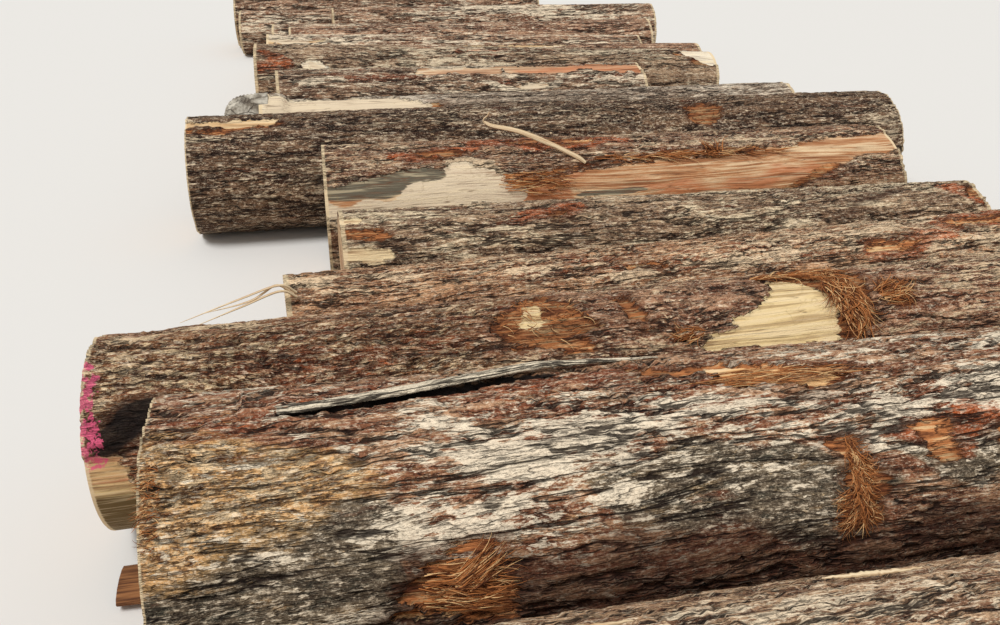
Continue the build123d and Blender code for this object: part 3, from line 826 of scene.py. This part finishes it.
stem = Stem(6)
finish = bark_finish("bark_peeling", (56, 36, 26), (130, 96, 74), (172, 140, 112),
                     (216, 196, 166), 0.56, (190, 132, 88), (102, 95, 80), (140, 108, 80))
zones = {
    "bare": [([(-0.1, 143), (0.1, 137), (0.22, 131), (0.35, 127), (0.48, 125), (0.62, 124), (0.71, 130),
               (0.74, 142), (0.86, 139), (1.01, 136), (1.27, 131), (1.4, 132), (1.65, 127), (1.95, 121),
               (2.32, 110), (2.7, 101), (2.7, 122), (2.61, 128), (2.27, 142), (2.11, 152), (2.04, 161),
               (1.62, 162), (1.24, 162), (0.98, 161), (0.7, 163), (0.29, 161), (-0.1, 161)],)],
    "torn": [([(0.72, 136), (1.0, 131), (1.3, 127), (1.65, 123), (2.11, 114), (2.11, 117), (1.65, 128),
               (1.3, 132), (1.0, 137), (0.74, 144)],),
             ([(1.5, 154), (1.8, 149), (2.1, 143), (2.32, 134), (2.3, 146), (2.14, 158), (2.06, 165),
               (1.62, 165), (1.3, 164), (1.35, 159)],),
             (oval(0.98, 92, 0.2, 8),),
             (oval(0.5, 108, 0.1, 5),)],
    "aged": [([(-0.2, 110), (0.66, 110), (0.6, 124), (0.56, 130), (0.41, 142), (0.24, 150), (0.0, 148),
               (-0.2, 148)], 0.03, 1.3),
             (oval(1.22, 157, 0.17, 2.5), 0.01, 1.2)],
    "pale": [([(-0.2, 147), (0.24, 150), (0.41, 141), (0.54, 129), (0.62, 123), (0.72, 124), (0.74, 140),
               (0.7, 170), (-0.2, 170)], 0.03, 1.3)],
    "rust": [([(0.7, 136), (1.05, 134), (1.05, 164), (0.7, 164)], 0.05, 0.9),
             ([(1.3, 150), (2.2, 140), (2.2, 164), (1.3, 164)], 0.06, 0.8),
             ([(1.1, 128), (2.7, 96), (2.7, 108), (1.1, 140)], 0.1, 0.6),
             (oval(0.98, 94, 0.34, 15), 0.05, 1.3), (oval(0.5, 108, 0.2, 9), 0.04, 1.2)],
}
lay_skin(stem, finish, (60, 190, 3), 320, 104, zones, 1.15, 0.012)
strands("band_hooks", stem, 26, (1.72, 123, 0.05, 3), 240, 50, 0.09, 0.04, 0.006, 21)
strands("band_upper_fringe", stem, 130, (1.6, 124, 0.5, 4), 6, 10, 0.16, 0.008, 0.005, 22, 0.2)
strands("band_left_fringe", stem, 120, (0.85, 144, 0.14, 10), 4, 10, 0.14, 0.005, 0.004, 23, 0.15)

stem = Stem(7)
finish = bark_finish("bark_dark", (40, 25, 19), (86, 62, 46), (126, 101, 79),
                     (204, 188, 162), 0.44, (220, 180, 130), (150, 134, 116), (104, 88, 62))
zones = {
    "bare": [([(-0.1, 94), (0.2, 92), (0.45, 92), (0.39, 103), (-0.1, 106)],)],
    "torn": [([(-0.1, 104), (0.2, 102), (0.45, 103), (0.39, 110), (-0.1, 110)],),
             (oval(2.54, 112, 0.09, 16),)],
    "pale": [([(0.07, 117), (0.41, 118), (0.41, 134), (0.08, 132)], 0.05, 0.5),
             ([(1.4, 90), (3.7, 90), (3.7, 150), (1.4, 150)], 0.6, 0.25)],
}
lay_skin(stem, finish, (60, 190, 3), 340, 90, zones, 1.25, 0.002)


# Slivers of pale wood, left standing where stems were torn at felling. Three thin ones stick out of
# the left end of the fourth log and rest on the third, a curved one stands off the sixth, and two
# lie along the back of the nearest.

sliver_finish, start, shader = start_finish("slivers")
grain = start.measured("grain", True)
streak = grain.noise(6, 260, 4, 0.6, 0.2)
colour = streak.ease(0.3, 0.6).blend((186, 146, 104), (238, 216, 178))
colour = colour.tint((120, 84, 56), (grain.noise(14, 90, 3, 0.6, 3.3) - 0.6).ease(0.0, 0.1) * 0.6)
set_surface(start, shader, colour, 0.7, streak * 0.001)

sliver_ends = [
    [(-1.58, -2.42, 0.44), (-1.63, -2.44, 0.478), (-1.75, -2.47, 0.455), (-1.93, -2.5, 0.405)],
    [(-1.58, -2.43, 0.43), (-1.63, -2.45, 0.462), (-1.74, -2.49, 0.44), (-1.88, -2.54, 0.41)],
    [(-1.59, -2.41, 0.43), (-1.64, -2.43, 0.474), (-1.72, -2.47, 0.446), (-1.86, -2.5, 0.43)],
]
for number, ends in enumerate(sliver_ends, start=1):
    line = smooth_line(ends, 24)
    width = np.interp(np.linspace(0, 1, 24), [0, 0.1, 0.7, 1], [0.012, 0.011, 0.007, 0.002])
    piece = tubes(f"end_sliver_{number}", [line], [width], [width * 0.5], np.array([0, -0.5, 0.85]), 6,
                  sliver_finish)

curved = smooth_line([(-0.35, -1.48, 0.51), (-0.386, -1.465, 0.534), (-0.495, -1.42, 0.582),
                      (-0.615, -1.36, 0.624), (-0.725, -1.29, 0.637), (-0.756, -1.27, 0.652)], 32)
width = np.interp(np.linspace(0, 1, 32), [0, 0.15, 0.5, 0.9, 1], [0.014, 0.02, 0.024, 0.015, 0.006])
piece = tubes("curved_sliver", [curved], [width], [width * 0.35], np.array([0, -0.9, 0.45]), 8,
              sliver_finish)
hook = smooth_line([(-0.732, -1.285, 0.636), (-0.756, -1.272, 0.645), (-0.758, -1.27, 0.662),
                    (-0.74, -1.262, 0.674), (-0.73, -1.255, 0.688)], 20)
piece = tubes("sliver_hook", [hook], [np.full(20, 0.006)], [np.full(20, 0.004)], np.array([0, -1, 0.2]), 6,
              sliver_finish)

edge_places = [([0.58, 0.63, 0.72, 0.82, 0.86], [68, 68, 69, 70, 70]),
               ([1.25, 1.29, 1.34, 1.4, 1.45], [59, 60, 61, 62, 62])]
for number, (stations, bearings) in enumerate(edge_places, start=1):
    edge_runs = np.linspace(stations[0], stations[-1], 40)
    edge_angles = np.interp(edge_runs, stations, bearings)
    edge = nearest_stem.on_bark(edge_runs, np.radians(edge_angles), 0.009 + chance.normal(0, 0.0006, 40))
    edge_width = np.interp(edge_runs, stations, [0.003, 0.009, 0.012, 0.009, 0.003])
    edge_width = edge_width * chance.uniform(0.8, 1.15, 40)
    piece = tubes(f"edge_sliver_{number}", [edge], [edge_width], [edge_width * 0.7],
                  nearest_stem.outward(np.radians(80)), 8, sliver_finish)


# A split slab of bare wood lies on the ground in the gap between the second log and the third, and
# shows just past the end of the second.

slab_low, slab_high = Vector((-2.055, -3.262, 0.0)), Vector((-1.62, -3.115, 0.046))
slab_steps, slab_height = 40, 0.0235
slab_runs = np.linspace(slab_low.x, slab_high.x, slab_steps)
slab_across = np.full(slab_steps, (slab_low.y + slab_high.y) / 2)
slab_line = np.stack([slab_runs, slab_across, np.full(slab_steps, slab_height)], -1)
slab_width = (slab_high.y - slab_low.y) * np.interp(slab_runs, [-2.055, -1.9], [0.94, 1.0])
slab_finish, start, shader = start_finish("split_slab")
grain = start.measured("grain", True)
streak = grain.noise(5, 90, 4, 0.62, 0.9)
colour = streak.ease(0.36, 0.6).blend((84, 50, 32), (148, 100, 62))
colour = colour.tint((186, 142, 94), (streak - 0.58).ease(0.0, 0.1) * 0.6)
set_surface(start, shader, colour, 0.85, streak * 0.004)
slab_thickness = np.full(slab_steps, slab_high.z)
piece = tubes("ground_slab", [slab_line], [slab_width], [slab_thickness], np.array([0, 0, 1]), 12,
              slab_finish)


# The next three logs, sawn hardwood with the bark on. One has a weathered stub at its left end and a
# pale strip on top where the bark is off, the next is peeled to pink wood along its top, and the
# third ends in white wood at the right.

stem = Stem(8)
finish = bark_finish("bark_blue_grey", (56, 42, 34), (126, 108, 92), (170, 154, 136),
                     (212, 200, 182), 0.56, (238, 222, 194), (186, 174, 158), (124, 104, 84))
zones = {
    "bare": [([(-0.1, 92), (0.46, 80), (0.7, 88), (0.9, 112), (0.86, 146), (0.46, 148), (-0.1, 146)],)],
    "torn": [(oval(0.92, 120, 0.05, 10),)],
    "pale": [([(0.1, 84), (0.9, 90), (0.9, 150), (0.1, 150)], 0.1, 0.8)],
}
lay_skin(stem, finish, (50, 180, 3), 200, 66, zones, 1.35)

stub_radius, stub_length, stub_height = 0.149, 0.24, 0.4
stub_rows, stub_sides = 40, 48
stub_low, stub_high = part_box("log_08")
stub_tip = stub_low.x - 0.03
stub_middle = (stub_low.y + stub_high.y) / 2
stub_shares = np.linspace(0, 1, stub_rows)
stub_radii = stub_radius * np.sqrt(np.clip(1 - stub_shares**4.5, 0, 1))
stub_runs = stub_tip + stub_length - stub_length * stub_shares
turns = np.linspace(0, 2 * math.pi, stub_sides, endpoint=False)
lumps = 1 - 0.05 * (1 + np.sin(3 * turns + 0.6)) - 0.03 * (1 + np.sin(7 * turns + 2.0))
reach = stub_radii[:, None] * lumps
wear = 0.006 * np.sin(40 * stub_shares[:, None] + 3 * np.sin(2 * turns))
reach = reach - np.abs(wear) * (stub_shares[:, None] > 0.3)
stub_points = np.stack([np.broadcast_to(stub_runs[:, None], reach.shape),
                        stub_middle + reach * np.cos(turns), stub_height + reach * np.sin(turns)], -1)
stub_faces = faces_round(np.arange(stub_rows - 1)[:, None] * stub_sides, stub_sides)[:, [0, 3, 2, 1]]
stub_mesh = bpy.data.meshes.new("weathered_stub")
stub_mesh.from_pydata(stub_points.reshape(-1, 3).tolist(), [], stub_faces.tolist())
stub_mesh.shade_smooth()
stub_finish, start, shader = start_finish("weathered_stub")
place = start.node("ShaderNodeTexCoord", {}, {}, "Object")
blotch = place.noise(14, 14, 5, 0.65, 0.3)
checks = place.cells(9, 22).ease(0.0, 0.06)
colour = blotch.ease(0.36, 0.64).blend((120, 110, 96), (202, 194, 178))
# Painted shade in the checks of the weathered stub, which the bump sinks.
colour = colour.tint((62, 50, 42), (1 - checks) * 0.6)
set_surface(start, shader, colour, 0.9, checks * 0.004 + blotch * 0.006)
stub_mesh.materials.append(stub_finish)
stub = bpy.data.objects.new("weathered_stub", stub_mesh)
bpy.context.collection.objects.link(stub)
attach(stub, "root")

stem = Stem(9)
finish = bark_finish("bark_pink_peeled", (50, 33, 25), (118, 92, 73), (160, 133, 109),
                     (226, 212, 188), 0.62, (204, 160, 124), (160, 144, 124), (140, 108, 82))
zones = {
    "bare": [([(0.81, 84), (1.4, 84), (1.33, 109), (0.81, 106)],),
             ([(1.39, 86), (1.6, 80), (1.8, 86), (2.0, 80), (2.3, 84), (2.21, 114), (2.05, 110), (1.85, 104),
               (1.65, 112), (1.5, 106), (1.39, 109)],),
             (oval(1.5, 132, 0.1, 6),)],
    "pale": [(oval(0.2, 121, 0.16, 4), 0.03, 1.0), (oval(1.05, 88, 0.3, 6), 0.06, 0.8),
             (oval(1.5, 132, 0.14, 5), 0.03, 1.2)],
    "rust": [(oval(2.0, 98, 0.5, 20), 0.15, 1.0), (oval(0.9, 112, 0.6, 8), 0.1, 0.9)],
}
lay_skin(stem, finish, (50, 180, 3), 190, 66, zones, 1.4)

stem = Stem(10)
finish = bark_finish("bark_brown_grey", (60, 42, 32), (134, 108, 86), (176, 152, 126),
                     (214, 200, 174), 0.58, (244, 232, 208), (170, 156, 136), (138, 106, 80))
zones = {
    "bare": [([(2.86, 66), (3.3, 66), (3.3, 134), (3.03, 132), (2.9, 112)],),
             (oval(0.35, 134, 0.09, 5),)],
    "torn": [([(2.8, 95), (2.95, 112), (3.2, 134), (3.2, 141), (2.95, 131), (2.82, 110)],)],
    "pale": [(oval(0.36, 134, 0.1, 4), 0.03, 1.4), (oval(1.9, 100, 0.7, 8), 0.1, 0.6)],
    "rust": [(oval(1.4, 96, 0.5, 8), 0.1, 1.2), (oval(0.04, 130, 0.09, 24), 0.04, 1.2)],
}
lay_skin(stem, finish, (50, 180, 3), 210, 66, zones, 1.4)


# The far logs, of which the picture shows the tops and some left ends. They are the same timber in
# grey and brown bark, and are finished like the others all round.

far_bark = [(11, 0.58, (128, 95, 74)), (12, 0.64, (134, 103, 81)), (13, 0.54, (120, 86, 66)),
            (14, 0.6, (131, 99, 76)), (15, 0.62, (126, 94, 72)), (16, 0.58, (135, 101, 76)),
            (17, 0.6, (128, 97, 76))]
far_bare = {
    11: [([(0.1, 95), (1.0, 88), (1.6, 96), (1.0, 108), (0.3, 106)],)],
    12: [([(-0.1, 119), (-0.1, 103), (0.25, 107), (0.47, 100), (0.66, 90), (0.52, 106), (0.25, 115)],)],
}
for number, spread, body in far_bark:
    stem = Stem(number)
    finish = bark_finish(f"bark_far_{number}", (58, 38, 29), body, (180, 147, 121),
                         (230, 216, 192), spread, (226, 190, 142), (160, 146, 126),
                         (142, 106, 80))
    bare = far_bare.get(number, [])
    zones = {"bare": bare, "pale": [(outline, 0.02, 1.2) for (outline,) in bare if number == 12]}
    lay_skin(stem, finish, (40, 180, 3), 170, 52, zones, 1.5 + 0.1 * (number % 5))


# The ground and the light. The floor and the backdrop are plain and pale, and the light is a soft
# studio light from the upper left.

floor_mesh = bpy.data.meshes.new("floor")
floor_mesh.from_pydata([(-300, -300, 0), (300, -300, 0), (300, 300, 0), (-300, 300, 0)], [], [(0, 1, 2, 3)])
floor = bpy.data.objects.new("floor", floor_mesh)
bpy.context.collection.objects.link(floor)
floor_finish, start, shader = start_finish("floor")
shader.inputs["Base Color"].default_value = rgb(226, 224, 220)
shader.inputs["Roughness"].default_value = 0.9
floor_mesh.materials.append(floor_finish)

world = bpy.data.worlds.new("studio")
world.use_nodes = True
world.node_tree.nodes.clear()
start = Wire(world.node_tree)
paths = start.node("ShaderNodeLightPath", {}, {}, "Is Camera Ray")
surround = start.node("ShaderNodeBackground", {}, {"Color": (1, 0.985, 0.96, 1), "Strength": 0.5})
backdrop = start.node("ShaderNodeBackground", {}, {"Color": rgb(236, 234, 228), "Strength": 1.0})
shown = start.node("ShaderNodeMixShader", {}, {0: paths, 1: surround, 2: backdrop})
start.node("ShaderNodeOutputWorld", {}, {"Surface": shown}, None)
bpy.context.scene.world = world

lamp = bpy.data.lights.new("soft_light", "SUN")
lamp.energy = 2.2
lamp.angle = math.radians(25)
lamp_stand = bpy.data.objects.new("soft_light", lamp)
toward_light = Vector((-0.5, -0.25, 1))
lamp_stand.rotation_euler = toward_light.to_track_quat("Z", "Y").to_euler()
bpy.context.collection.objects.link(lamp_stand)

lens = bpy.data.cameras.new("camera")
lens.lens = 31.92
lens.sensor_width = 36
lens.clip_end = 200
camera = bpy.data.objects.new("camera", lens)
bpy.context.collection.objects.link(camera)
pitch, yaw, roll = math.radians(27.01), math.radians(12.20), math.radians(0.860)
ahead = Vector((math.sin(yaw), math.cos(yaw), 0))
right = Vector((math.cos(yaw), -math.sin(yaw), 0))
aim = ahead * math.cos(pitch) - Vector((0, 0, 1)) * math.sin(pitch)
above = ahead * math.sin(pitch) + Vector((0, 0, 1)) * math.cos(pitch)
level = right * math.cos(roll) + above * math.sin(roll)
upright = above * math.cos(roll) - right * math.sin(roll)
turn = Matrix((level, upright, -aim)).transposed().to_4x4()
camera.matrix_world = Matrix.Translation((-1.4837, -5.0226, 1.6657)) @ turn
bpy.context.scene.camera = camera
bpy.context.scene.view_settings.view_transform = "Standard"
